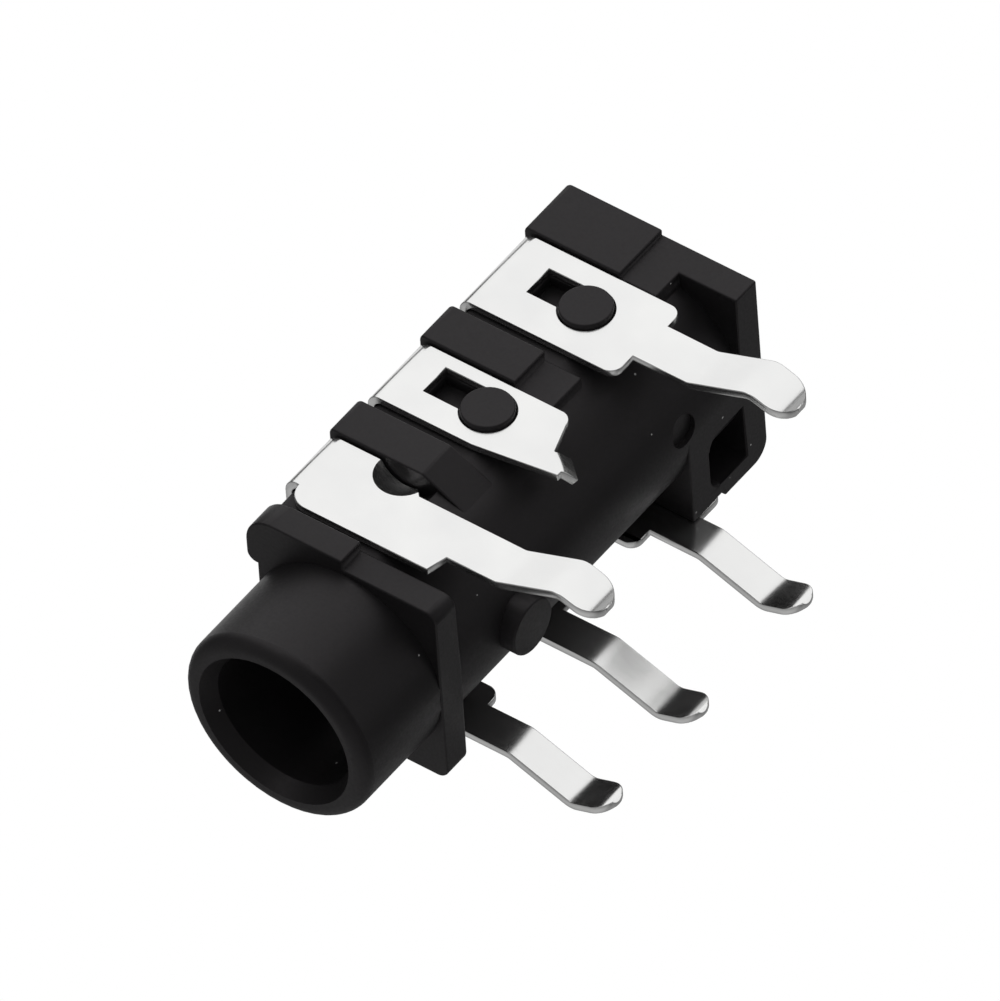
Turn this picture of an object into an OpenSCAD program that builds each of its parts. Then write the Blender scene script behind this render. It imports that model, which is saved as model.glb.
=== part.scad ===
// Board-mounted 3.5 mm stereo jack socket: a moulded housing and five stamped contacts.
// X is across the socket, Y runs from the flange's front face to the rear, Z is up from the board.
// The origin is on the plug axis, in the plane of the flange's front face.

/* [Nose and plug bore] */
// Diameter of the plug bore
bore_d = 3.6; // [3.55:0.01:3.7]
// Outer diameter of the nose and of the tube that runs back from it
nose_d = 5.0; // [4.9:0.05:5.2]
// Length of the nose in front of the flange
nose_len = 2.8; // [2:0.05:5]
// Diameter of the lead-in at the mouth
mouth_d = 4.05; // [3.8:0.05:4.2]
// Depth of the lead-in at the mouth
mouth_depth = 0.4; // [0.2:0.05:0.8]
// Radius of the nose's outer rim
rim_r = 0.36; // [0.1:0.02:0.4]
// Extra radius of the chamber behind the guiding bore
chamber_relief = 0.25; // [0.2:0.01:0.3]
// Thickness of the wall behind the plug tip
rear_wall = 0.55; // [0.4:0.05:0.7]
// Length of the guiding bore behind the flange's front face
guide_back = 1.06; // [0.9:0.01:1.2]

/* [Housing] */
// Gap between the tube and the board
belly_gap = 0; // [0:0.05:0.5]
// Height of the roof above the plug axis
roof_h = 2.64; // [2.5:0.02:2.8]
// Width across the side ribs above the parting step
upper_w = 5.8; // [5.7:0.05:6.2]
// Width across the side ribs below the parting step
lower_w = 5.24; // [5.2:0.02:5.4]
// Width of the rear block below the parting step
rear_w = 5.48; // [5.2:0.02:5.6]
// How far the flat sides that the straps lie on stand out from the tube
core_side = 0.07; // [0.05:0.01:0.1]
// Height of the parting step above the plug axis
step_z = 0.03; // [-0.2:0.01:0.3]
// Depth below the plug axis at which the flats under the straps begin to slope in to the tube
flat_drop = 0.3; // [0.2:0.05:0.6]
// Height above the plug axis at which the first rib begins to slope in to the tube
slope_h = 0.1; // [0:0.02:0.3]
// Depth below the plug axis at which the lower sides of the other ribs end
ledge_drop = 0.95; // [0.6:0.05:1.4]
// Radius of the ribs' upper edges
rib_r = 0.18; // [0.1:0.02:0.4]

/* [Flange] */
// Thickness of the front flange
flange_t = 0.73; // [0.5:0.05:1.2]
// Height of the flange above the plug axis
flange_h = 2.68; // [2.6:0.02:3]
// Radius of the flange's upper corners
flange_r = 0.8; // [0.3:0.05:1.2]
// Half the gap between the flange's two ears
ear_x = 1.45; // [1.2:0.05:1.6]
// Radius of the ears' inner corners
ear_r = 0.25; // [0.1:0.05:0.3]
// Radius of the flange's lower corners
foot_r = 0.3; // [0.05:0.05:0.4]

/* [Ribs along the body] */
// Thickness of the rib between the sleeve strap and the ring strap
rib1_t = 1.06; // [0.8:0.02:1.6]
// Thickness of the rib between the ring strap and the tip strap
rib2_t = 1.12; // [0.8:0.02:1.6]
// Thickness of the block behind the tip strap
rear_t = 1.6; // [1.4:0.05:2.4]
// Thickness of the end wall that stands on the board
end_wall_t = 0.75; // [0.6:0.05:1]
// How far the block in front of it reaches forward behind the tip switch strap
foot_in = 1.16; // [0.8:0.02:1.6]
// Thickness of that block's outer wall
foot_t = 0.5; // [0.4:0.02:0.6]
// How far the pocket in the block reaches forward behind the strap
pocket_in = 0.46; // [0.2:0.02:0.6]
// Distance of the pocket from the plug axis
pocket_x = 0.6; // [0.5:0.05:0.9]
// Radius of the pocket's front corners
pocket_r = 0.4; // [0.1:0.05:0.45]
// Radius of the end wall's upright corner
corner_r = 0.5; // [0.2:0.05:0.6]

/* [Straps] */
// Sheet thickness of the contacts
sheet_t = 0.2; // [0.15:0.01:0.25]
// Width of the sleeve strap
sleeve_w = 2.1; // [2:0.01:2.6]
// Width of the ring strap
ring_w = 1.9; // [1.8:0.02:2.6]
// Width of the tip strap
tip_w = 2.39; // [2.2:0.01:3]
// Gap between the flange and the sleeve strap
sleeve_lead = 0.2; // [0.1:0.01:0.3]
// Gap in front of the ring and tip straps
strap_lead = 0.33; // [0.1:0.01:0.4]
// Gap behind each strap
strap_trail = 0.05; // [0.02:0.01:0.2]
// Radius of the bend over the roof's edge, at the middle of the sheet
bend_r = 0.3; // [0.2:0.02:0.4]
// Depth below the plug axis at which the wide part of the straps ends
strap_drop = 1.6; // [1.3:0.05:1.7]
// Radius of the straps' lower corners
strap_r = 0.3; // [0.1:0.05:0.4]
// Radius of the sleeve strap's front corner below the roof
neck_r = 0.5; // [0.3:0.05:0.6]

/* [Retaining bosses] */
// Diameter of the bosses
boss_d = 1.24; // [1:0.02:1.4]
// Height of the bosses' middle above the plug axis
boss_z = 0.08; // [-0.1:0.02:0.3]
// How far the bosses sit behind the straps' middles
boss_shift = 0.06; // [0:0.01:0.15]
// Height of the bosses above the straps
boss_proud = 0.12; // [0.05:0.01:0.2]
// Depth of the pocket in the housing behind each slot
slot_pocket = 0.3; // [0.1:0.05:0.4]
// Width of the slot above each boss
slot_w = 0.84; // [0.5:0.02:0.9]
// How far the slots sit behind the bosses' middles
slot_shift = 0.12; // [0:0.01:0.15]
// Height of the tip slot's upper end above the plug axis
slot_top = 1.48; // [1.2:0.02:1.6]
// How much higher the ring slot ends
ring_slot_up = 0.14; // [0:0.02:0.2]

/* [Terminals] */
// Length of the terminals below the board seat
pin_len = 3.25; // [2.5:0.05:4]
// Width of the two terminals under the straps
tail_w = 1.14; // [0.8:0.02:1.3]
// Width of the three terminals on the other side
lug_w = 0.92; // [0.7:0.02:1.1]
// How far the terminals bow outwards
pin_bow = 0.65; // [0.3:0.05:0.8]
// How far the terminal tips stay outwards
tip_out = 0.3; // [0.1:0.05:0.5]
// Depth below the board seat at which the terminals start to bow
bow_start = 0.6; // [0.4:0.05:0.8]
// Height of the knee of the terminals above their tips
knee_up = 1.0; // [0.8:0.05:1.2]
// Radius of the terminals' bends, at the middle of the sheet
knee_r = 0.4; // [0.2:0.05:0.5]
// How far the ring switch terminal sits in front of the sleeve strap's middle
ring_switch_shift = 0.14; // [0:0.02:0.3]
// How far the ring terminal sits in front of the ring strap's middle
ring_shift = 0.38; // [0.2:0.02:0.45]
// How far the tip switch terminal sits in front of the tip strap's middle
tip_switch_shift = 0.14; // [0:0.02:0.3]

/* [Springs] */
// How far the springs reach into the plug bore
spring_reach = 0.35; // [0.2:0.05:0.45]
// Width of the sleeve and tip springs
spring_w = 1.2; // [0.8:0.05:1.4]
// Width of the ring spring
ring_spring_w = 0.9; // [0.7:0.05:1]
// Slit between the ring spring and the crossing of the ring strap
ring_slit = 0.25; // [0.2:0.01:0.3]

/* [Locating peg] */
// Diameter of the peg under the body
peg_d = 1.4; // [1:0.05:1.6]
// Length of the peg below the board seat
peg_len = 0.4; // [0.3:0.05:1]
// Distance of the peg behind the flange
peg_back = 2.1; // [1.5:0.05:3]

/* [Fits] */
// Clearance between the straps and the housing
fit_gap = 0.03; // [0.01:0.01:0.05]
// Gap of the closed switches between a spring and its tongue
switch_gap = 0.04; // [0.02:0.01:0.06]
// Room round the springs in their windows
window_gap = 0.15; // [0.1:0.01:0.2]

/* [Hidden] */
$fn = 64;
// Angle between the points of a sheet bend
bend_step = 9;
// How far cuts run past the surface, and how far joined forms run into each other
over = 1;
bite = 0.1;
// How far a slope runs into the tube where it meets it
touch_in = 0.01;

PLASTIC = "#1b1b1d";
TIN = "#d9d9d6";

// Places along the socket
sleeve_y0 = flange_t + sleeve_lead;
sleeve_y1 = sleeve_y0 + sleeve_w;
rib1_y0 = sleeve_y1 + strap_trail;
rib1_y1 = rib1_y0 + rib1_t;
ring_y0 = rib1_y1 + strap_lead;
ring_y1 = ring_y0 + ring_w;
rib2_y0 = ring_y1 + strap_trail;
rib2_y1 = rib2_y0 + rib2_t;
tip_y0 = rib2_y1 + strap_lead;
tip_y1 = tip_y0 + tip_w;
rear_y0 = tip_y1 + strap_trail;
body_len = rear_y0 + rear_t;
end_y0 = body_len - end_wall_t;
sleeve_ym = (sleeve_y0 + sleeve_y1) / 2;
ring_ym = (ring_y0 + ring_y1) / 2;
tip_ym = (tip_y0 + tip_y1) / 2;

// Heights and half widths
axis_h = nose_d / 2 + belly_gap;
seat_z = -axis_h;
ledge_z = -ledge_drop;
core_top = roof_h - sheet_t - fit_gap;
core_x = nose_d / 2 + core_side;
plate_x = core_x + fit_gap + sheet_t / 2;
plate_out = plate_x + sheet_t / 2;
deck_z = core_top + fit_gap + sheet_t / 2;
bore_r = bore_d / 2;
nose_r = nose_d / 2;
chamber_r = bore_r + chamber_relief;
chamber_y0 = guide_back;
chamber_y1 = body_len - rear_wall;

// Terminal profile below the board seat, and the middles of the terminals
bow_start_z = seat_z - bow_start;
pin_tip_z = seat_z - pin_len;
knee_z = pin_tip_z + knee_up;
sleeve_tail_y = sleeve_ym + 0.04;
tip_tail_y = tip_ym + 0.06;
ring_switch_y = sleeve_ym - ring_switch_shift;
ring_lug_y = ring_ym - ring_shift;
tip_switch_y = tip_ym - tip_switch_shift;

// Upper end of the ring slot, rear edge of the ring switch plate, and lower end of the slots' pockets
ring_slot_top = slot_top + ring_slot_up;
ring_switch_y1 = sleeve_y1 - 0.25;
pocket_z = boss_z + boss_d / 2 + fit_gap;

// Lower ends of the straps
sleeve_end_z = -strap_drop - 0.15;
tip_end_z = -strap_drop - 0.12;
ring_switch_end_z = -strap_drop - 0.3;
tip_switch_end_z = -strap_drop - 0.2;
shoulder_z = seat_z + 0.02;

// Front corner of the sleeve strap below the roof
neck_y = sleeve_y0 + neck_r;
neck_z = roof_h - neck_r - bend_r - bite;

// Slanted lower end of the ring strap, and the corner behind its point that is folded inwards
slant_z = -0.2;
point_y = ring_y0 + 0.15 * ring_w;
point_z = seat_z + 0.17;
fold_y0 = ring_y0 + 0.22 * ring_w;
fold_y1 = ring_y0 + 0.44 * ring_w;
fold_z1 = -strap_drop - 0.25;
fold_a = atan2(fold_z1 - point_z, fold_y1 - fold_y0);
fold_len = norm([fold_y1 - fold_y0, fold_z1 - point_z]);
fold_in = 0.35;
fold_down = 0.3;

// Spring profile: it leaves the deck at spring_x, dips to the plug and rises to a flat free end
spring_x = 1.3;
spring_root = 0.3;
dip_x = 0.35;
rise_x = 1.0;
free_x = 1.65;
free_rise = 0.45;
dip_z = bore_r - spring_reach + sheet_t / 2;
free_z = dip_z + free_rise;
tongue_z = free_z - sheet_t - switch_gap;
tongue_x0 = 2.12;
tongue_x1 = 1.82;
tongue_end = 1.2;
spring_r = 0.2;
window_z = bore_r / 2;
window_x0 = -(free_x + window_gap);
window_x1 = spring_x + window_gap;
notch_x = -(tongue_x0 + sheet_t);

// Springs along the socket; the ring spring is the front part of its strap, the crossing its rear part
sleeve_spring_y0 = neck_y;
sleeve_spring_y1 = neck_y + spring_w;
tip_spring_y0 = tip_ym - spring_w / 2;
tip_spring_y1 = tip_ym + spring_w / 2;
ring_spring_y1 = ring_y0 + ring_spring_w;
ring_cross_y0 = ring_spring_y1 + ring_slit;
ring_far_top = ring_slot_top + 0.26;

// Arm of the ring switch along the roof to its tongue
arm_x0 = 2.45;
arm_x1 = 1.85;
arm_root = 0.5;
ring_tongue_y0 = ring_y0 + 0.1;

// Pressed dish that locks the sleeve strap against the first rib
dish_r = 0.7;
dish_out = 0.22;
dish_y = sleeve_y1 - 0.1;
dish_z = 0.52;
dish_deep = 0.7;
dish_lip_z = dish_z - 0.3;

// Gate mark under the tube
gate_d = 0.8;
gate_x = 0.42;
gate_depth = 0.15;

// A profile drawn in X and Z, extruded along Y from y0 to y1
module along_y(y0, y1) {
    translate([0, y1, 0]) rotate([90, 0, 0]) linear_extrude(y1 - y0) children();
}

// An outline drawn in Y and Z, extruded along X from x0 to x1
module along_x(x0, x1) {
    translate([x0, 0, 0]) rotate([90, 0, 90]) linear_extrude(x1 - x0) children();
}

// A rectangle from two corners
module span(a, b) {
    translate([min(a[0], b[0]), min(a[1], b[1])]) square([abs(b[0] - a[0]), abs(b[1] - a[1])]);
}

// A block of half width x from z0 to z1 with round upper corners
module crowned(x, z0, z1, r) {
    span([-x, z0], [x, z1 - r]);
    span([-x + r, z0], [x - r, z1]);
    for (s = [-1, 1]) translate([s * (x - r), z1 - r]) circle(r);
}

// Where a slope from the point p meets the tube below it
function tube_touch(p) =
    let (r = nose_r - touch_in, a = atan2(p[1], p[0]) - acos(r / norm(p)))
    r * [cos(a), sin(a)];

// Sides that slope from half width x at height z in to the tube
module sloped_sides(x, z) {
    end = tube_touch([x, z]);
    polygon([[-x, z + bite], [-x, z], [-end[0], end[1]], end, [x, z], [x, z + bite]]);
}

function unit(v) = v / norm(v);
function left(v) = [-v[1], v[0]];
function turn(u, v) = atan2(u[0] * v[1] - u[1] * v[0], u * v);
function setback(p, r, i) =
    i == 0 || i == len(p) - 1 ? 0 : r[i] * tan(abs(turn(unit(p[i] - p[i - 1]), unit(p[i + 1] - p[i]))) / 2);

function turned(v, a) = [v[0] * cos(a) - v[1] * sin(a), v[0] * sin(a) + v[1] * cos(a)];
function reversed(p) = [for (i = [len(p) - 1 : -1 : 0]) p[i]];

// Points round the bend at p[i] on the strip's edge that lies off to the left of the path
function bend_points(p, r, i, off) =
    let (
        u = unit(p[i] - p[i - 1]),
        angle = turn(u, unit(p[i + 1] - p[i])),
        side = sign(angle),
        centre = p[i] - u * setback(p, r, i) + left(u) * side * r[i],
        steps = ceil(abs(angle) / bend_step)
    )
    [for (k = [0 : steps]) centre - (r[i] - side * off) * side * turned(left(u), k * angle / steps)];

function strip_edge(p, r, off) =
    let (last = len(p) - 1)
    concat(
        [p[0] + left(unit(p[1] - p[0])) * off],
        [for (i = [1 : last - 1]) each bend_points(p, r, i, off)],
        [p[last] + left(unit(p[last] - p[last - 1])) * off]
    );

// A strip of sheet that follows the points p, with a bend of radius r[i] at each inner point
module bent_strip(p, r) {
    polygon(concat(strip_edge(p, r, sheet_t / 2), reversed(strip_edge(p, r, -sheet_t / 2))));
}

// Strap and terminal seen from the end: over the roof's edge, down the side and out to the bowed terminal
module terminal_profile(deck_end) {
    bent_strip([[deck_end, deck_z], [plate_x, deck_z], [plate_x, bow_start_z],
                [plate_x + pin_bow, knee_z], [plate_x + tip_out, pin_tip_z]],
               [0, bend_r, knee_r, knee_r, 0]);
}

// Terminal outline seen from the side: a leg of width w on y with a round tip, up to z
module terminal_outline(y, w, z) {
    span([y - w / 2, pin_tip_z + w / 2], [y + w / 2, z]);
    translate([y, pin_tip_z + w / 2]) circle(w / 2);
}

// Strap outline seen from the side, from z up to top, with round lower corners
module strap_outline(y0, y1, z, top = roof_h + over) {
    span([y0, z + strap_r], [y1, top]);
    span([y0 + strap_r, z], [y1 - strap_r, top]);
    for (y = [y0 + strap_r, y1 - strap_r]) translate([y, z + strap_r]) circle(strap_r);
}

// The room beside the strap on the side away from the middle, for outlines seen from the side
module strap_room() {
    along_x(0, plate_out + pin_bow + over) children();
}

// Keyhole over a boss: a round hole and a slot above it up to top
module keyhole_outline(y, top) {
    translate([y + boss_shift, boss_z]) circle(boss_d / 2 + fit_gap);
    slot_outline(y, boss_z, top);
}

// The slot above a boss, from z to top
module slot_outline(y, z, top) {
    middle = y + boss_shift + slot_shift;
    span([middle - slot_w / 2, z], [middle + slot_w / 2, top]);
}

// Spring that dips through the roof to the plug, from y0 to y1
module spring(y0, y1) {
    along_y(y0, y1)
        bent_strip([[spring_x + spring_root, deck_z], [spring_x, deck_z], [dip_x, dip_z], [-dip_x, dip_z],
                    [-rise_x, free_z], [-free_x, free_z]],
                   [0, spring_r, spring_r, spring_r, spring_r, 0]);
}

// Tongue from the other side's roof edge to just under a spring's free end, from y0 to y1
module tongue(y0, y1, root_x) {
    along_y(y0, y1)
        bent_strip([[-root_x, deck_z], [-tongue_x0, deck_z],
                    [-tongue_x1, tongue_z], [-tongue_end, tongue_z]],
                   [0, spring_r, spring_r, 0]);
}

// Round nose, which runs back through the flange
module nose() {
    rotate([90, 0, 0]) rotate_extrude() {
        span([0, -flange_t], [nose_r, nose_len - rim_r]);
        span([0, -flange_t], [nose_r - rim_r, nose_len]);
        translate([nose_r - rim_r, nose_len - rim_r]) circle(rim_r);
    }
}

// Tube behind the flange and the flat-sided core round it, level under the straps
module core() {
    along_y(0, body_len) {
        intersection() {
            circle(nose_r);
            span([-nose_r, -nose_r - over], [nose_r, core_top]);
        }
        crowned(core_x, -flat_drop, core_top, bend_r - sheet_t / 2 - fit_gap);
        sloped_sides(core_x, -flat_drop);
    }
}

// Front flange with an ear at each upper corner; the tube shows between the ears
module flange() {
    ear_out = upper_w / 2 - flange_r;
    along_y(0, flange_t) {
        span([-upper_w / 2, step_z], [upper_w / 2, flange_h - flange_r]);
        mirror([0, 1]) crowned(lower_w / 2, -step_z - bite, axis_h, foot_r);
        for (s = [0, 1]) mirror([s, 0]) {
            span([ear_x, step_z + bite], [ear_out, flange_h - ear_r]);
            span([ear_x + ear_r, step_z + bite], [ear_out, flange_h]);
            translate([ear_x + ear_r, flange_h - ear_r]) circle(ear_r);
            translate([ear_out, flange_h - flange_r]) circle(flange_r);
        }
    }
}

// First rib, whose sides slope in to the tube without a step
module sloped_rib(y0, y1) {
    along_y(y0, y1) {
        crowned(upper_w / 2, slope_h, roof_h, rib_r);
        sloped_sides(upper_w / 2, slope_h);
    }
}

// Side ribs and roof from y0 to y1, of width low below the parting step
module rib(y0, y1, low) {
    along_y(y0, y1) {
        crowned(upper_w / 2, step_z, roof_h, rib_r);
        span([-low / 2, ledge_z], [low / 2, step_z + bite]);
    }
}

// End wall down to the board with a round corner, and in front of it a block under one side of the tube
module rear_foot() {
    side_x = -rear_w / 2;
    corner_y = body_len - corner_r;
    translate([0, 0, seat_z]) linear_extrude(ledge_z - seat_z + bite) difference() {
        union() {
            span([side_x + corner_r, end_y0], [rear_w / 2, body_len]);
            span([side_x, rear_y0], [0, corner_y]);
            span([-core_x, rear_y0 - foot_in], [0, rear_y0 + bite]);
            translate([side_x + corner_r, corner_y]) circle(corner_r);
        }
        foot_pocket();
    }
}

// Pocket in the block, round at its front corners, which leaves a wall beside the strap
module foot_pocket() {
    x0 = -rear_w / 2 + foot_t;
    x1 = -pocket_x;
    translate([(x0 + x1) / 2, 0]) mirror([0, 1])
        crowned((x1 - x0) / 2, -end_y0, pocket_in - rear_y0, pocket_r);
}

// Peg under the tube
module peg() {
    translate([0, flange_t + peg_back, seat_z - peg_len])
        cylinder(d = peg_d, h = peg_len + nose_r - bore_r);
}

// Round mark under the tube where the plastic came in
module gate_mark() {
    translate([gate_x, tip_ym, seat_z - over]) cylinder(d = gate_d, h = gate_depth + over);
}

// Retaining bosses for the ring and tip straps, on both sides
module bosses() {
    for (y = [ring_ym, tip_ym]) {
        translate([0, y + boss_shift, boss_z]) rotate([0, 90, 0])
            cylinder(d = boss_d, h = 2 * (plate_out + boss_proud), center = true);
    }
}

// Guiding bore, lead-in and the wider chamber behind
module plug_space() {
    rotate([90, 0, 0]) {
        translate([0, 0, -chamber_y0 - bite]) cylinder(r = bore_r, h = nose_len + chamber_y0 + bite + over);
        translate([0, 0, nose_len - mouth_depth])
            cylinder(r1 = bore_r, r2 = mouth_d / 2, h = mouth_depth);
        translate([0, 0, -chamber_y1]) cylinder(r = chamber_r, h = chamber_y1 - chamber_y0);
    }
}

// Window through the roof for a spring from y0 to y1
module window(y0, y1) {
    along_y(y0 - window_gap, y1 + window_gap) span([window_x0, window_z], [window_x1, roof_h + over]);
}

// Room for a switch tongue between the window and the side wall
module tongue_notch(y0, y1) {
    along_y(y0 - window_gap, y1 + window_gap)
        span([notch_x, tongue_z - sheet_t], [window_x0 + bite, roof_h + over]);
}

// Pressed dish of radius r at the sleeve strap's rear edge
module dish(r) {
    translate([plate_out + dish_out, dish_y, dish_z]) sphere(r);
}

// Room for the dish in the core in front of the first rib
module dish_room() {
    intersection() {
        dish(dish_r + sheet_t + fit_gap);
        along_y(sleeve_y0, rib1_y0) span([0, seat_z], [upper_w, roof_h]);
    }
}

// Channel in the first rib's roof for the arm of the ring switch
module arm_channel() {
    along_y(rib1_y0 - over, rib1_y1 + over)
        span([-arm_x0 - window_gap, core_top], [-arm_x1 + window_gap, roof_h + over]);
}

module housing() color(PLASTIC) {
    difference() {
        union() {
            nose();
            flange();
            core();
            sloped_rib(rib1_y0, rib1_y1);
            rib(rib2_y0, rib2_y1, lower_w);
            rib(rear_y0, body_len, rear_w);
            rear_foot();
            bosses();
            peg();
        }
        plug_space();
        gate_mark();
        window(sleeve_spring_y0, sleeve_spring_y1);
        window(ring_y0, ring_spring_y1);
        window(tip_spring_y0, tip_spring_y1);
        tongue_notch(ring_y0, ring_spring_y1);
        tongue_notch(tip_spring_y0, tip_spring_y1);
        arm_channel();
        dish_room();
        along_x(core_x - slot_pocket, core_x + over) {
            slot_outline(ring_ym, pocket_z, ring_slot_top);
            slot_outline(tip_ym, pocket_z, slot_top);
        }
    }
}

module sleeve_contact() color(TIN) {
    difference() {
        intersection() {
            along_y(sleeve_y0, sleeve_y1) terminal_profile(spring_x);
            strap_room() {
                span([sleeve_y0, dish_z], [sleeve_y1, neck_z]);
                span([neck_y, dish_z], [sleeve_y1, roof_h + over]);
                translate([neck_y, neck_z]) circle(neck_r);
                polygon([[sleeve_y0, dish_z], [sleeve_y0, -strap_drop],
                         [sleeve_tail_y - tail_w / 2, sleeve_end_z],
                         [sleeve_tail_y + tail_w / 2, sleeve_end_z],
                         [sleeve_tail_y + tail_w / 2, dish_z]]);
                terminal_outline(sleeve_tail_y, tail_w, 0);
            }
        }
        dish(dish_r);
    }
    intersection() {
        difference() {
            dish(dish_r + sheet_t);
            dish(dish_r);
        }
        along_x(plate_out - dish_deep, plate_out)
            polygon([[sleeve_y0, dish_z + over], [sleeve_y1, dish_z + over], [sleeve_y1, dish_lip_z],
                     [sleeve_tail_y + tail_w / 2, dish_z - dish_r], [sleeve_y0, dish_z - dish_r]]);
    }
    spring(sleeve_spring_y0, sleeve_spring_y1);
}

// Near side of the ring strap, down to its slanted point and the folded corner behind the point
module ring_near_side() {
    difference() {
        intersection() {
            along_y(ring_y0, ring_y1)
                bent_strip([[spring_x, deck_z], [plate_x, deck_z], [plate_x, seat_z]], [0, bend_r, 0]);
            strap_room() {
                span([ring_y0, slant_z], [ring_y1, roof_h + over]);
                strap_outline(fold_y1, ring_y1, -strap_drop);
                polygon([[ring_y0, slant_z + bite], [ring_y0, slant_z], [point_y, point_z],
                         [fold_y0, point_z], [fold_y1, fold_z1], [ring_y1 - strap_r, -strap_drop],
                         [ring_y1 - strap_r, slant_z + bite]]);
            }
        }
        strap_room() keyhole_outline(ring_ym, ring_slot_top);
    }
    translate([0, fold_y0, point_z]) rotate([fold_a, 0, 0]) along_y(0, fold_len)
        bent_strip([[plate_x, 2 * bite], [plate_x, 0], [plate_x - fold_in, -fold_down]], [0, spring_r, 0]);
}

// Far side of the ring strap: it stays below the roof in front of the crossing
module ring_far_side() {
    difference() {
        intersection() {
            along_y(ring_lug_y - lug_w / 2, ring_y1) terminal_profile(plate_x - bend_r);
            strap_room() {
                span([ring_cross_y0, 0], [ring_y1, roof_h + over]);
                strap_outline(ring_lug_y - lug_w / 2, ring_y1, -strap_drop, ring_far_top);
                terminal_outline(ring_lug_y, lug_w, 0);
            }
        }
        strap_room() keyhole_outline(ring_ym, ring_slot_top);
    }
}

module ring_contact() color(TIN) {
    ring_near_side();
    mirror([1, 0, 0]) ring_far_side();
    spring(ring_y0, ring_spring_y1);
    along_y(ring_cross_y0, ring_y1)
        span([-plate_x + bend_r, deck_z - sheet_t / 2], [spring_x, deck_z + sheet_t / 2]);
}

module tip_contact() color(TIN) {
    difference() {
        intersection() {
            along_y(tip_y0, tip_y1) terminal_profile(spring_x);
            strap_room() {
                strap_outline(tip_y0, tip_y1, -strap_drop);
                strap_outline(tip_ym, tip_y1, tip_end_z);
                terminal_outline(tip_tail_y, tail_w, 0);
            }
        }
        strap_room() keyhole_outline(tip_ym, slot_top);
    }
    spring(tip_spring_y0, tip_spring_y1);
}

module ring_switch_contact() color(TIN) {
    plate_y0 = ring_switch_y - lug_w / 2;
    mirror([1, 0, 0]) intersection() {
        along_y(plate_y0, ring_switch_y1) terminal_profile(arm_x1);
        strap_room() {
            strap_outline(plate_y0, ring_switch_y1, ring_switch_end_z);
            terminal_outline(ring_switch_y, lug_w, 0);
        }
    }
    along_y(ring_switch_y1 - arm_root, ring_spring_y1)
        span([-arm_x0, deck_z - sheet_t / 2], [-tongue_x0, deck_z + sheet_t / 2]);
    tongue(ring_tongue_y0, ring_spring_y1, arm_x0);
}

module tip_switch_contact() color(TIN) {
    mirror([1, 0, 0]) difference() {
        intersection() {
            along_y(tip_y0, tip_y1) terminal_profile(tongue_x0);
            strap_room() {
                strap_outline(tip_y0, tip_y1, tip_switch_end_z);
                strap_outline(tip_switch_y - lug_w / 2, tip_y1, shoulder_z);
                terminal_outline(tip_switch_y, lug_w, 0);
            }
        }
        strap_room() keyhole_outline(tip_ym, slot_top);
    }
    tongue(tip_spring_y0, tip_spring_y1, plate_x - bend_r);
}

housing();
sleeve_contact();
ring_contact();
tip_contact();
ring_switch_contact();
tip_switch_contact();
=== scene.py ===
import math

import bmesh
import bpy
from mathutils import Matrix, Vector


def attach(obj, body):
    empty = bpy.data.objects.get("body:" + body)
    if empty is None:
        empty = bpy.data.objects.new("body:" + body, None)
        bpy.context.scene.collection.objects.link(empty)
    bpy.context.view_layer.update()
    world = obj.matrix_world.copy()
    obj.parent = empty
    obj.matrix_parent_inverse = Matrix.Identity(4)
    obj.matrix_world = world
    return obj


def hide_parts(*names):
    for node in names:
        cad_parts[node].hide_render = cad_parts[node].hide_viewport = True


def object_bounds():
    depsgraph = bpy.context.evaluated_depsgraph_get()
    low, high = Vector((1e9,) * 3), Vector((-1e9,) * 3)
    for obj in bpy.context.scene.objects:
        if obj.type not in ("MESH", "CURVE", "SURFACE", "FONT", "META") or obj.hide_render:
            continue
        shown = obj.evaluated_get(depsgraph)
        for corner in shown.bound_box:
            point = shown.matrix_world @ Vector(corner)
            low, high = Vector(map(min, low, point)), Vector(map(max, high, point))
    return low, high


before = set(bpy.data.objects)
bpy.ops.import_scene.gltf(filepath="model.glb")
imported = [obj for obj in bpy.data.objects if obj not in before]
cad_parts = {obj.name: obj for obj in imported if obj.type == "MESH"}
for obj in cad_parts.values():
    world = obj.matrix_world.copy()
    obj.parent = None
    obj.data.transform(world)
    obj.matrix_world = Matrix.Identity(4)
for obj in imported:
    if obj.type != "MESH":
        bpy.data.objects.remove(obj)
cad_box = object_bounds()
scene = bpy.context.scene
scene.view_settings.view_transform = "Standard"

# Camera
# A long lens stands low beside the nose, below the level of the board, and is rolled,
# because the socket was photographed lying on its side.
MM = 0.001
LENS = 1680.0
SENSOR = 36.0
PIXELS_PER_MM = 45.732
FRAME_HEIGHT = 1001
CLIP_NEAR = 0.005
CLIP_FAR = 5.0
aim = Vector((0.5572, 5.0773, -0.3946)) * MM
to_camera = Vector((0.7303, -0.5279, -0.4336)).normalized()
camera_up = Vector((0.6811, 0.6114, 0.4029))
camera_up = (camera_up - to_camera * camera_up.dot(to_camera)).normalized()
camera_right = camera_up.cross(to_camera)
distance = FRAME_HEIGHT / PIXELS_PER_MM * MM * LENS / SENSOR
camera_data = bpy.data.cameras.new("camera")
camera_data.lens = LENS
camera_data.sensor_width = SENSOR
camera_data.clip_start = CLIP_NEAR
camera_data.clip_end = CLIP_FAR
camera = bpy.data.objects.new("camera", camera_data)
scene.collection.objects.link(camera)
turn = Matrix((camera_right, camera_up, to_camera)).transposed().to_4x4()
camera.matrix_world = Matrix.Translation(aim + to_camera * distance) @ turn
scene.camera = camera

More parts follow.
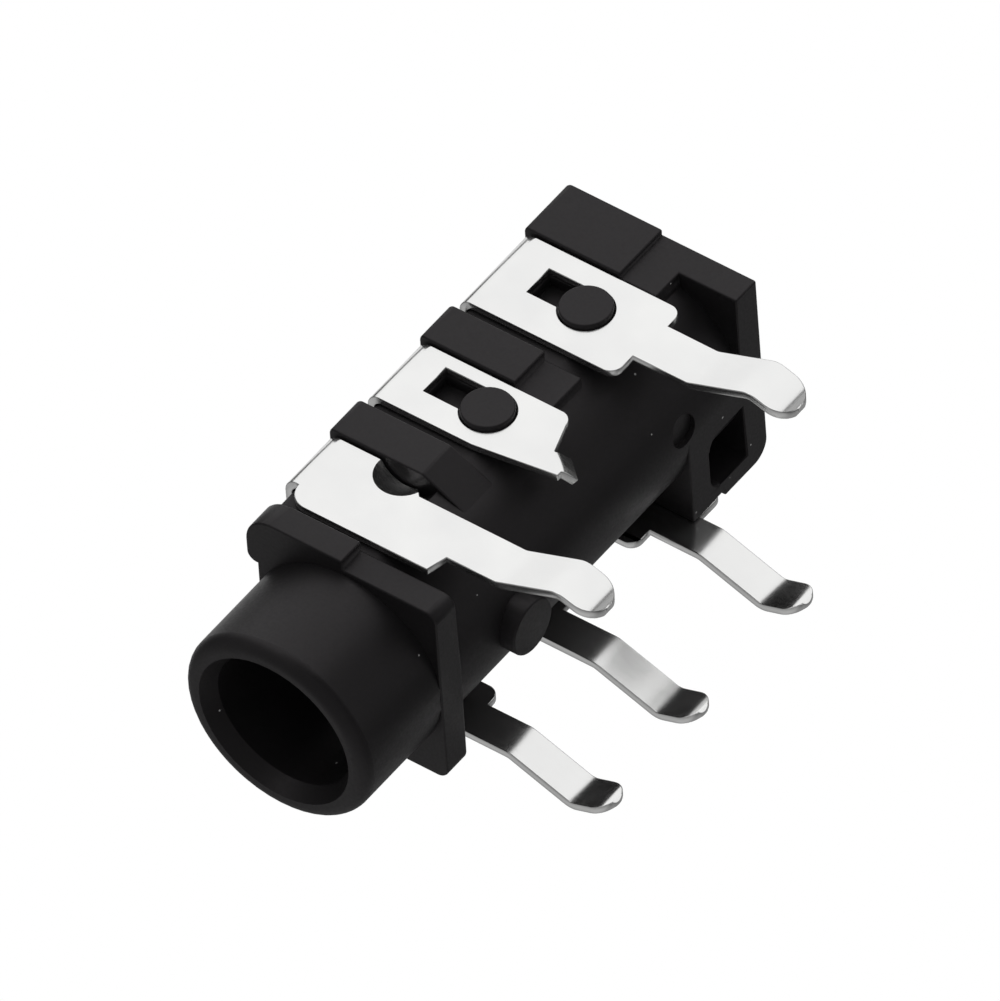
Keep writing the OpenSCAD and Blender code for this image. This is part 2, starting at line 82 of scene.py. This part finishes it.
# Housing
# One black moulding in satin plastic, which carries the five contacts. Its edges come out of the tool
# slightly round, the faces have the tool's fine eroded grain, and a few specks of dust lie on it.
MOULD_EDGE = 0.045 * MM
TUBE_RADIUS = 2.5 * MM
MERGE = 0.0005 * MM
FLAT = math.radians(0.05)
SHARP = math.radians(28)
CUT_SNAP = 0.03 * MM
WALL_PER_EDGE = 3.4


def rounded_copy(node, name, edge, material, levels):
    """A copy of a CAD node, cut across at the levels given, with round outer edges where walls allow."""
    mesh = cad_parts[node].data.copy()
    mesh.name = name
    mesh.materials.clear()
    mesh.materials.append(material)
    work = bmesh.new()
    work.from_mesh(mesh)
    bmesh.ops.remove_doubles(work, verts=work.verts, dist=MERGE)
    bmesh.ops.dissolve_limit(work, angle_limit=FLAT, verts=work.verts, edges=work.edges)
    for level in levels:
        bmesh.ops.bisect_plane(work, geom=work.verts[:] + work.edges[:] + work.faces[:], dist=CUT_SNAP,
                               plane_co=(0.0, 0.0, level), plane_no=(0.0, 0.0, 1.0))
    weight = work.edges.layers.float.new("bevel_weight_edge")
    for line in work.edges:
        if line.calc_face_angle() > SHARP:
            wall = min(face.calc_area() for face in line.link_faces) / line.calc_length()
            if line.is_convex and wall > WALL_PER_EDGE * edge:
                line[weight] = 1.0
            else:
                line.smooth = False
    for face in work.faces:
        face.smooth = True
    work.to_mesh(mesh)
    work.free()
    piece = bpy.data.objects.new(name, mesh)
    scene.collection.objects.link(piece)
    rounding = piece.modifiers.new("round edges", "BEVEL")
    rounding.width = edge
    rounding.segments = 2
    rounding.limit_method = "WEIGHT"
    rounding.use_clamp_overlap = False
    rounding.miter_outer = "MITER_ARC"
    shading = piece.modifiers.new("flat faces", "WEIGHTED_NORMAL")
    shading.keep_sharp = True
    return piece


def plain_mesh(piece):
    """Makes the modifiers' result the piece's own mesh and returns it with its normals."""
    mesh = bpy.data.meshes.new_from_object(piece.evaluated_get(bpy.context.evaluated_depsgraph_get()))
    piece.modifiers.clear()
    piece.data = mesh
    return mesh, [corner.vector.copy() for corner in mesh.corner_normals]


def true_round(piece, radius):
    """Gives the faces of a tube about the Y axis the tube's own normals, so that it shades evenly."""
    on_tube = 0.004 * MM
    facing_out = 0.97
    mesh, normals = plain_mesh(piece)
    for face in mesh.polygons:
        spots = [mesh.vertices[index].co for index in face.vertices]
        if max(abs(math.hypot(spot.x, spot.z) - radius) for spot in spots) > on_tube:
            continue
        if face.normal.dot(Vector((face.center.x, 0.0, face.center.z)).normalized()) < facing_out:
            continue
        for corner, spot in zip(face.loop_indices, spots):
            normals[corner] = Vector((spot.x, 0.0, spot.z)).normalized()
    mesh.normals_split_custom_set(normals)


def hand_over(piece, node):
    """Lets a finished piece stand for its CAD node and ride on the body."""
    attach(piece, "root")
    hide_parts(node)


def new_material(name):
    """A node material with its tree, its shader and its object coordinates."""
    material = bpy.data.materials.new(name)
    material.use_nodes = True
    tree = material.node_tree
    place = tree.nodes.new("ShaderNodeTexCoord")
    return material, tree, tree.nodes["Principled BSDF"], place.outputs["Object"]


def noise(tree, place, scale, detail):
    """Soft random values, whose scale in waves per metre is a number or a socket."""
    node = tree.nodes.new("ShaderNodeTexNoise")
    node.inputs["Detail"].default_value = detail
    tree.links.new(place, node.inputs["Vector"])
    if isinstance(scale, float):
        node.inputs["Scale"].default_value = scale
    else:
        tree.links.new(scale, node.inputs["Scale"])
    return node.outputs["Fac"]


def spread(tree, value, source, target):
    """Maps a value that varies from one range to another."""
    node = tree.nodes.new("ShaderNodeMapRange")
    for name, limit in zip(("From Min", "From Max", "To Min", "To Max"), source + target):
        node.inputs[name].default_value = limit
    tree.links.new(value, node.inputs["Value"])
    return node.outputs["Result"]


def sums(tree, kind, first, second):
    """One sum or comparison of two sockets."""
    node = tree.nodes.new("ShaderNodeMath")
    node.operation = kind
    tree.links.new(first, node.inputs[0])
    tree.links.new(second, node.inputs[1])
    return node.outputs["Value"]


def mix_colour(tree, factor, first, second):
    """Goes from one colour to another, each of which may be a socket."""
    node = tree.nodes.new("ShaderNodeMix")
    node.data_type = "RGBA"
    tree.links.new(factor, node.inputs[0])
    for socket, colour in ((node.inputs[6], first), (node.inputs[7], second)):
        if isinstance(colour, tuple):
            socket.default_value = colour
        else:
            tree.links.new(colour, socket)
    return node.outputs[2]


# The small marks that both materials share: fine grain, soft clouds of handling, and specks
marks = bpy.data.node_groups.new("fine_marks", "ShaderNodeTree")
marks.interface.new_socket("Vector", in_out="INPUT", socket_type="NodeSocketVector")
for name in ("Grain Scale", "Cloud Scale", "Speck Scale", "Speck Size", "Speck Share"):
    marks.interface.new_socket(name, in_out="INPUT", socket_type="NodeSocketFloat")
for name in ("Grain", "Clouds", "Specks"):
    marks.interface.new_socket(name, in_out="OUTPUT", socket_type="NodeSocketFloat")
given = marks.nodes.new("NodeGroupInput").outputs
result = marks.nodes.new("NodeGroupOutput").inputs
marks.links.new(noise(marks, given["Vector"], given["Grain Scale"], detail=4.0), result["Grain"])
marks.links.new(noise(marks, given["Vector"], given["Cloud Scale"], detail=3.0), result["Clouds"])
cells = marks.nodes.new("ShaderNodeTexVoronoi")
marks.links.new(given["Vector"], cells.inputs["Vector"])
marks.links.new(given["Speck Scale"], cells.inputs["Scale"])
chance = marks.nodes.new("ShaderNodeSeparateColor")
marks.links.new(cells.outputs["Color"], chance.inputs["Color"])
small = sums(marks, "LESS_THAN", cells.outputs["Distance"], given["Speck Size"])
some = sums(marks, "LESS_THAN", chance.outputs["Red"], given["Speck Share"])
marks.links.new(sums(marks, "MULTIPLY", small, some), result["Specks"])


def add_marks(tree, place, grain, cloud, speck, size, share):
    """Places the small marks in a material, with its own scales and its own size and share of specks."""
    node = tree.nodes.new("ShaderNodeGroup")
    node.node_tree = marks
    tree.links.new(place, node.inputs["Vector"])
    node.inputs["Grain Scale"].default_value = grain
    node.inputs["Cloud Scale"].default_value = cloud
    node.inputs["Speck Scale"].default_value = speck
    node.inputs["Speck Size"].default_value = size
    node.inputs["Speck Share"].default_value = share
    return node.outputs


def bump(tree, height, shader, depth, strength):
    """Roughens the shader's normal by a height that varies over the surface."""
    node = tree.nodes.new("ShaderNodeBump")
    node.inputs["Strength"].default_value = strength
    node.inputs["Distance"].default_value = depth
    tree.links.new(height, node.inputs["Height"])
    tree.links.new(node.outputs["Normal"], shader.inputs["Normal"])


BLACK = (0.0035, 0.0033, 0.0036, 1)
HANDLED_BLACK = (0.0060, 0.0056, 0.0060, 1)
DUST = (0.25, 0.25, 0.25, 1)
SHEEN = 0.34
SHEEN_TINT = (1.0, 0.94, 0.97, 1)
SATIN = (0.40, 0.50)
HANDLED_SATIN = (-0.03, 0.05)
NOISE_RANGE = (0.3, 0.7)
UPPER_CLOUDS = (0.35, 0.7)
FULL = (0.0, 1.0)
plastic, tree, shader, place = new_material("black_plastic")
shader.inputs["Specular IOR Level"].default_value = SHEEN
shader.inputs["Specular Tint"].default_value = SHEEN_TINT
marked = add_marks(tree, place, grain=14000.0, cloud=420.0, speck=3000.0, size=0.08, share=0.08)
tone = mix_colour(tree, spread(tree, marked["Clouds"], UPPER_CLOUDS, FULL), BLACK, HANDLED_BLACK)
tree.links.new(mix_colour(tree, marked["Specks"], tone, DUST), shader.inputs["Base Color"])
satin = sums(tree, "ADD", spread(tree, marked["Grain"], NOISE_RANGE, SATIN),
             spread(tree, marked["Clouds"], NOISE_RANGE, HANDLED_SATIN))
tree.links.new(satin, shader.inputs["Roughness"])
bump(tree, marked["Grain"], shader, depth=0.003 * MM, strength=0.2)
moulding = rounded_copy("housing", "housing_moulding", MOULD_EDGE, plastic, [])
true_round(moulding, TUBE_RADIUS)
hand_over(moulding, "housing")

# Contacts
# Five strips stamped from spring bronze and bright tin plated, bent over the roof's edges and held by the
# housing's bosses. They show faint rolling lines along the strip, clouds of handling and a satin gloss.
SHEET_EDGE = 0.025 * MM
LEG_TOP = -2.65 * MM
LEG_STEP = 0.07 * MM
LEG_CUTS = 43
BEND_REACH = 0.26 * MM
COINED_END = 0.2 * MM
COINED_TURN = 0.6
HAZY_TIN = (0.86, 0.86, 0.855, 1)
BRIGHT_TIN = (0.915, 0.915, 0.905, 1)
DULL_SPECK = (0.66, 0.66, 0.65, 1)
ROLLED_GLOSS = (0.20, 0.23)
HANDLED_GLOSS = (-0.02, 0.03)
ROLLING_SQUEEZE = (1.0, 5.0, 1.0)
tin, tree, shader, place = new_material("tinned_strip")
shader.inputs["Metallic"].default_value = 1.0
along = tree.nodes.new("ShaderNodeMapping")
along.inputs["Scale"].default_value = ROLLING_SQUEEZE
tree.links.new(place, along.inputs["Vector"])
rolled = noise(tree, along.outputs["Vector"], scale=2200.0, detail=4.0)
marked = add_marks(tree, place, grain=16000.0, cloud=650.0, speck=1300.0, size=0.05, share=0.04)
tone = mix_colour(tree, spread(tree, marked["Clouds"], NOISE_RANGE, FULL), HAZY_TIN, BRIGHT_TIN)
tree.links.new(mix_colour(tree, marked["Specks"], tone, DULL_SPECK), shader.inputs["Base Color"])
gloss = sums(tree, "ADD", spread(tree, rolled, NOISE_RANGE, ROLLED_GLOSS),
             spread(tree, marked["Clouds"], NOISE_RANGE, HANDLED_GLOSS))
tree.links.new(gloss, shader.inputs["Roughness"])
bump(tree, noise(tree, place, scale=420.0, detail=0.0), shader, depth=0.02 * MM, strength=0.1)


def soft_bends(piece):
    """Blends the normals along the legs, whose bends run out softly and whose ends are coined round."""
    most_y = 0.05
    least_x = 0.3
    mesh, normals = plain_mesh(piece)
    foot = min(vertex.co.z for vertex in mesh.vertices)
    sides = {}
    for face in mesh.polygons:
        if face.center.z < LEG_TOP and abs(face.normal.y) < most_y and abs(face.normal.x) > least_x:
            sides.setdefault((face.center.x > 0, face.normal.x > 0), []).append(face)
    for faces in sides.values():
        for face in faces:
            for corner, index in zip(face.loop_indices, face.vertices):
                level = mesh.vertices[index].co.z
                blend = Vector()
                for other in faces:
                    away = (other.center.z - level) / BEND_REACH
                    blend += other.normal * other.area * math.exp(-away * away)
                above = (level - foot) / COINED_END
                blend = blend.normalized() - Vector((0.0, 0.0, COINED_TURN * math.exp(-above * above)))
                normals[corner] = blend.normalized()
    mesh.normals_split_custom_set(normals)


leg_levels = [LEG_TOP - index * LEG_STEP for index in range(LEG_CUTS)]
for name in ("sleeve", "ring", "tip", "ring_switch", "tip_switch"):
    strip = rounded_copy(name + "_contact", name + "_strip", SHEET_EDGE, tin, leg_levels)
    soft_bends(strip)
    hand_over(strip, name + "_contact")

# Floor and light
# A pale floor under the pin tips, clear from below because the camera looks up past it, in a white room
# that is dimmer in reflections. One large soft lamp stands beside the socket, and weaker ones stand above,
# below and in front of it.
FLOOR_HALF = 0.15
FLOOR_FADE = (0.02, 0.09)
PALE = (0.86, 0.86, 0.86, 1)
PALE_ROUGHNESS = 0.8
WHITE = (1, 1, 1, 1)
ROOM_LIGHT = (0.75, 0.75, 0.75, 1)
LEFT_WALL = (-0.75, -0.35)
FRONT_WALL = (-0.55, -0.20)
WALL_TONES = (0.22, 0.03)
LAMP_DISTANCE = 0.12
floor_z = cad_box[0][2]
mesh = bpy.data.meshes.new("floor")
corners = [(-FLOOR_HALF, -FLOOR_HALF, floor_z), (FLOOR_HALF, -FLOOR_HALF, floor_z),
           (FLOOR_HALF, FLOOR_HALF, floor_z), (-FLOOR_HALF, FLOOR_HALF, floor_z)]
mesh.from_pydata(corners, [], [(0, 1, 2, 3)])
floor = bpy.data.objects.new("floor", mesh)
scene.collection.objects.link(floor)
paper, tree, shader, place = new_material("pale_floor")
shader.inputs["Base Color"].default_value = PALE
shader.inputs["Roughness"].default_value = PALE_ROUGHNESS
clear = tree.nodes.new("ShaderNodeBsdfTransparent")
side = tree.nodes.new("ShaderNodeNewGeometry")
ray = tree.nodes.new("ShaderNodeLightPath")
unseen = sums(tree, "MAXIMUM", side.outputs["Backfacing"], ray.outputs["Is Glossy Ray"])
unseen = sums(tree, "MAXIMUM", unseen, ray.outputs["Is Shadow Ray"])
away = tree.nodes.new("ShaderNodeVectorMath")
away.operation = "LENGTH"
tree.links.new(place, away.inputs[0])
unseen = sums(tree, "MAXIMUM", unseen, spread(tree, away.outputs["Value"], FLOOR_FADE, FULL))
either = tree.nodes.new("ShaderNodeMixShader")
tree.links.new(unseen, either.inputs["Fac"])
tree.links.new(shader.outputs["BSDF"], either.inputs[1])
tree.links.new(clear.outputs["BSDF"], either.inputs[2])
tree.links.new(either.outputs["Shader"], tree.nodes["Material Output"].inputs["Surface"])
mesh.materials.append(paper)

world = bpy.data.worlds.new("room")
scene.world = world
world.use_nodes = True
tree = world.node_tree
room = tree.nodes["Background"]
ray = tree.nodes.new("ShaderNodeLightPath")
way = tree.nodes.new("ShaderNodeTexCoord")
axes = tree.nodes.new("ShaderNodeSeparateXYZ")
tree.links.new(way.outputs["Generated"], axes.inputs["Vector"])
mirrored = sums(tree, "ADD", spread(tree, axes.outputs["X"], LEFT_WALL, WALL_TONES),
                spread(tree, axes.outputs["Y"], FRONT_WALL, WALL_TONES))
dim = mix_colour(tree, ray.outputs["Is Glossy Ray"], ROOM_LIGHT, mirrored)
tree.links.new(mix_colour(tree, ray.outputs["Is Camera Ray"], dim, WHITE), room.inputs["Color"])


def soft_lamp(name, direction, size, level):
    """A round lamp that faces the socket; its level is the brightness it shows in a mirror."""
    data = bpy.data.lights.new(name, "AREA")
    data.shape = "DISK"
    data.size = size
    data.energy = level * math.pi * math.pi * size * size / 4
    lamp = bpy.data.objects.new(name, data)
    scene.collection.objects.link(lamp)
    lamp.location = aim + Vector(direction).normalized() * LAMP_DISTANCE
    lamp.rotation_euler = (aim - lamp.location).to_track_quat("-Z", "Y").to_euler()


soft_lamp("side", (0.75, 0.53, 0.37), size=0.26, level=0.89)
soft_lamp("above", (-0.50, 0.50, 0.70), size=0.10, level=0.70)
soft_lamp("low", (0.30, 0.53, -0.79), size=0.12, level=0.33)
soft_lamp("front", (0.83, -0.34, 0.43), size=0.06, level=0.65)
